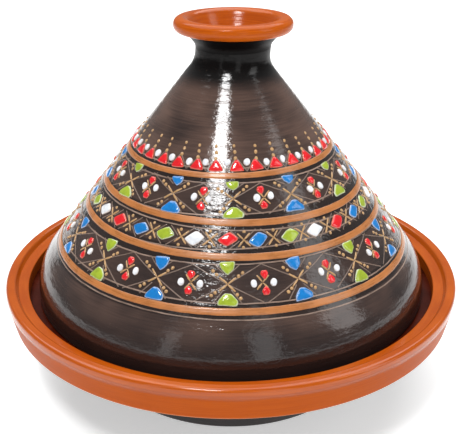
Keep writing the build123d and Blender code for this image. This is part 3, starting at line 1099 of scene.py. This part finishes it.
def crossing_zone(context, zone, low, high, count, start, shapes, seed):
    """Crosses with patches over and under them, and flowers between, in one zone."""
    middle = (BANDS[low] + BANDS[high]) / 2
    reach = ((BANDS[high] - BANDS[low] - BAND_WIDTH) / 2) / MM - 0.7
    half_pitch = TURN / count * slope_radius(middle) / MM / 2
    row = Row(context, middle, count, start)
    between = row.between()

    half, tall = shapes["hanging"]
    hanging = softened(
        loop(
            (-half, reach - 0.3), (-0.7 * half, reach - 0.6 * tall), (0.3, reach - tall),
            (0.8 * half, reach - 0.55 * tall), (0.9 * half, reach + 0.3),
        )
    )
    half, tall = shapes["standing"]
    standing = softened(
        loop(
            (-half, -reach), (-0.85 * half, 0.4 * tall - reach), (-0.2 * half, tall - reach),
            (0.35 * half, 0.95 * tall - reach), (half, 0.35 * tall - reach), (0.9 * half, -reach - 0.3),
        )
    )
    for skip, colour in enumerate(("green", "blue")):
        ways = {"every": 2, "skip": skip, "hand": 1.4, "seed": seed + skip}
        node = f"{zone}_patches_{colour}"
        row.enamel(f"{zone} {colour} patches", [hanging, standing], colour, node, **ways)

    def petal(way):
        points = loop((0, 1.5), (1.9, 3.6), (2.5, 5.2), (1.5, 7.1), (-1.5, 7.1), (-2.5, 5.2), (-1.9, 3.6))
        return softened([Vector((p.x, p.y * way)) for p in points], 1)

    petals, ways = [petal(1), petal(-1)], {"hand": 1.3, "seed": seed + 2}
    between.enamel(f"{zone} flower petals", petals, "red", f"{zone}_flower_petals", **ways)
    drops = [dot(side * shapes["drops"], 0, 2.1, 12, 1.15) for side in (-1, 1)]
    ways = {"hand": 1.6, "seed": seed + 3}
    between.enamel(f"{zone} flower drops", drops, "white", f"{zone}_flower_drops", 1.1, **ways)

    strokes, dots = [], []
    rise = math.radians(40)
    for across in (-1, 1):
        for up in (-1, 1):
            way = Vector((across * math.cos(rise), up * math.sin(rise)))
            strokes.append(stroke(way.x * 0.3, way.y * 0.3, way.x * 6.0, way.y * 6.0, 1.3))
            dots += [dot(way.x * far, way.y * far, 1.1) for far in (8.2, 11.0)]
    row.trailed(f"{zone} crosses", strokes, f"{zone}_crosses", seed=seed + 4)
    row.trailed(f"{zone} dots", dots, proud=1.2, hand=1.2, seed=seed + 5)
    leaves = [stroke(0.3 * a, 0.4 * b, 3.3 * a, 4.0 * b, 1.15) for a in (-1, 1) for b in (-1, 1)]
    between.trailed(f"{zone} flower strokes", leaves, hand=1.3, seed=seed + 6)

    edge = reach - 1.4
    lines = [(0.0, 0.0, half_pitch, edge), (0.0, 0.0, half_pitch, -edge)]
    lines += [(2.0, 6.2, 7.4, edge), (2.2, -3.4, 8.4, -edge)]
    row.scored(f"{zone} scoring", mirrored(lines), 14, hand=0.4, seed=seed + 7)


class TAGINE_OT_crossings(Operator):
    """Make the two zones of crosses, patches and flowers"""

    bl_idname = "tagine.crossings"
    bl_label = "Crossings"

    def execute(self, context):
        _, decoration, _ = settings(context)
        zone = {"hanging": (4.4, 5.9), "standing": (6.6, 7.0), "drops": 4.4}
        count, start = decoration.upper_count, decoration.upper_start
        crossing_zone(context, "upper", "upper", "crown", count, start, zone, 100)
        zone = {"hanging": (5.1, 8.4), "standing": (6.1, 7.4), "drops": 5.7}
        count, start = decoration.lower_count, decoration.lower_start
        crossing_zone(context, "lower", "lower", "middle", count, start, zone, 120)
        return {"FINISHED"}


class TAGINE_OT_lozenges(Operator):
    """Make the middle zone of lozenges in four colours with crosses between"""

    bl_idname = "tagine.lozenges"
    bl_label = "Lozenges"

    def execute(self, context):
        _, decoration, _ = settings(context)
        middle = (BANDS["middle"] + BANDS["upper"]) / 2
        row = Row(context, middle, decoration.middle_count, decoration.middle_start, -0.04)
        between = row.between()
        shape = softened(loop((-6.7, -0.7), (-0.6, -4.9), (6.7, 0.5), (1.0, 5.0)))
        for skip, colour in enumerate(("red", "blue", "green", "white")):
            ways = {"every": 4, "skip": skip, "hand": 1.5, "seed": 140 + skip}
            row.enamel(f"{colour} lozenges", [shape], colour, f"middle_lozenges_{colour}", **ways)
        rise = math.radians(48)
        ways = [(a * math.cos(rise), b * math.sin(rise)) for a in (-1, 1) for b in (-1, 1)]
        strokes = [stroke(0.2 * x, 0.2 * y, 5.2 * x, 5.2 * y, 1.2) for x, y in ways]
        between.trailed("middle crosses", strokes, "middle_crosses", hand=1.2, seed=150)
        dots = [dot(0, 4.6, 1.05), dot(0, -4.6, 1.05)]
        between.trailed("middle dots", dots, proud=1.2, hand=1.2, seed=151)
        lines = mirrored([(7.4, 0.7, 1.4, 5.9), (7.4, -0.7, 1.4, -5.9)])
        row.scored("middle scoring", lines, hand=0.8, seed=152)
        return {"FINISHED"}


def soft_light(name, place, aim, width, height, power):
    data = bpy.data.lights.new(name, "AREA")
    data.shape = "RECTANGLE"
    data.size, data.size_y, data.energy = width, height, power
    light = bpy.data.objects.new(name, data)
    light.location = place
    light.rotation_euler = (Vector(aim) - Vector(place)).to_track_quat("-Z", "Y").to_euler()
    bpy.context.collection.objects.link(light)


class TAGINE_OT_stage(Operator):
    """Set the pale floor, the lights and the camera"""

    bl_idname = "tagine.stage"
    bl_label = "Stage"

    def execute(self, context):
        studio = context.scene.tagine_studio
        floor_mesh = bpy.data.meshes.new("floor")
        side = 4.0
        corners = [(-side, -side, 0), (side, -side, 0), (side, side, 0), (-side, side, 0)]
        floor_mesh.from_pydata(corners, [], [(0, 1, 2, 3)])
        floor = bpy.data.objects.new("floor", floor_mesh)
        context.collection.objects.link(floor)
        paper = Finish("white paper")
        tone = paper.smooth(paper.spots(0.4, 2.0), 0.3, 0.7)
        shade_low, shade_high = (0.86, 0.86, 0.86, 1.0), (0.89, 0.89, 0.89, 1.0)
        sheet = paper.close(paper.mix(tone, shade_low, shade_high), 0.7, glow=studio.floor_glow)
        floor_mesh.materials.append(sheet)

        world = bpy.data.worlds.new("white room")
        world.use_nodes = True
        sky = world.node_tree.nodes["Background"]
        sky.inputs["Color"].default_value = (1.0, 1.0, 1.0, 1.0)
        sky.inputs["Strength"].default_value = studio.world_light
        context.scene.world = world

        soft_light("strip", (-0.23, -0.70, 1.27), (0, -0.06, 0.15), 0.30, 0.26, studio.strip_power)
        soft_light("side", (1.3, -0.5, 0.9), (0, 0, 0.12), 0.5, 1.0, studio.fill_power)
        soft_light("front panel", (0.42, -1.25, 0.52), (0, 0, 0.12), 0.34, 1.2, studio.panel_power)
        soft_light("left panel", (-0.75, -1.15, 0.52), (0, 0, 0.12), 0.16, 1.0, studio.panel_power * 0.4)
        soft_light("overhead", (0, 0.9, 2.2), (0, 0.3, 0), 3.6, 2.4, studio.top_power)

        data = bpy.data.cameras.new("camera")
        data.lens = studio.lens
        camera = bpy.data.objects.new("camera", data)
        fall = studio.camera_height - studio.aim_height
        back = math.sqrt(studio.camera_distance**2 - fall**2)
        camera.location = (0, -back, studio.camera_height)
        aim = Vector((0, 0, studio.aim_height)) - camera.location
        camera.rotation_euler = aim.to_track_quat("-Z", "Y").to_euler()
        data.shift_x = 0.0046
        context.collection.objects.link(camera)
        context.scene.camera = camera
        context.scene.view_settings.view_transform = "Standard"
        return {"FINISHED"}


STEPS = ("dish", "lid", "bands", "crown", "crossings", "lozenges", "stage")


class TAGINE_PT_panel(Panel):
    """The pot's steps and sizes in the 3D view's sidebar"""

    bl_idname = "TAGINE_PT_panel"
    bl_label = "Tagine pot"
    bl_space_type = "VIEW_3D"
    bl_region_type = "UI"
    bl_category = "Tagine"

    def draw(self, context):
        for step in STEPS:
            self.layout.operator(f"tagine.{step}")
        for group in ("tagine_pot", "tagine_decoration", "tagine_colours", "tagine_studio"):
            box = self.layout.box()
            held = getattr(context.scene, group)
            for name in held.bl_rna.properties.keys():
                if name not in ("rna_type", "name"):
                    box.prop(held, name)


CLASSES = (
    TaginePotSizes, TagineDecoration, TagineColours, TagineStudio,
    TAGINE_OT_dish, TAGINE_OT_lid, TAGINE_OT_bands, TAGINE_OT_crown, TAGINE_OT_crossings,
    TAGINE_OT_lozenges, TAGINE_OT_stage, TAGINE_PT_panel,
)


def register():
    for held in CLASSES:
        bpy.utils.register_class(held)
    bpy.types.Scene.tagine_pot = PointerProperty(type=TaginePotSizes)
    bpy.types.Scene.tagine_decoration = PointerProperty(type=TagineDecoration)
    bpy.types.Scene.tagine_colours = PointerProperty(type=TagineColours)
    bpy.types.Scene.tagine_studio = PointerProperty(type=TagineStudio)


def unregister():
    for group in ("tagine_pot", "tagine_decoration", "tagine_colours", "tagine_studio"):
        delattr(bpy.types.Scene, group)
    for held in reversed(CLASSES):
        bpy.utils.unregister_class(held)


def main():
    register()
    for step in STEPS:
        getattr(bpy.ops.tagine, step)()


if __name__ == "__main__":
    main()
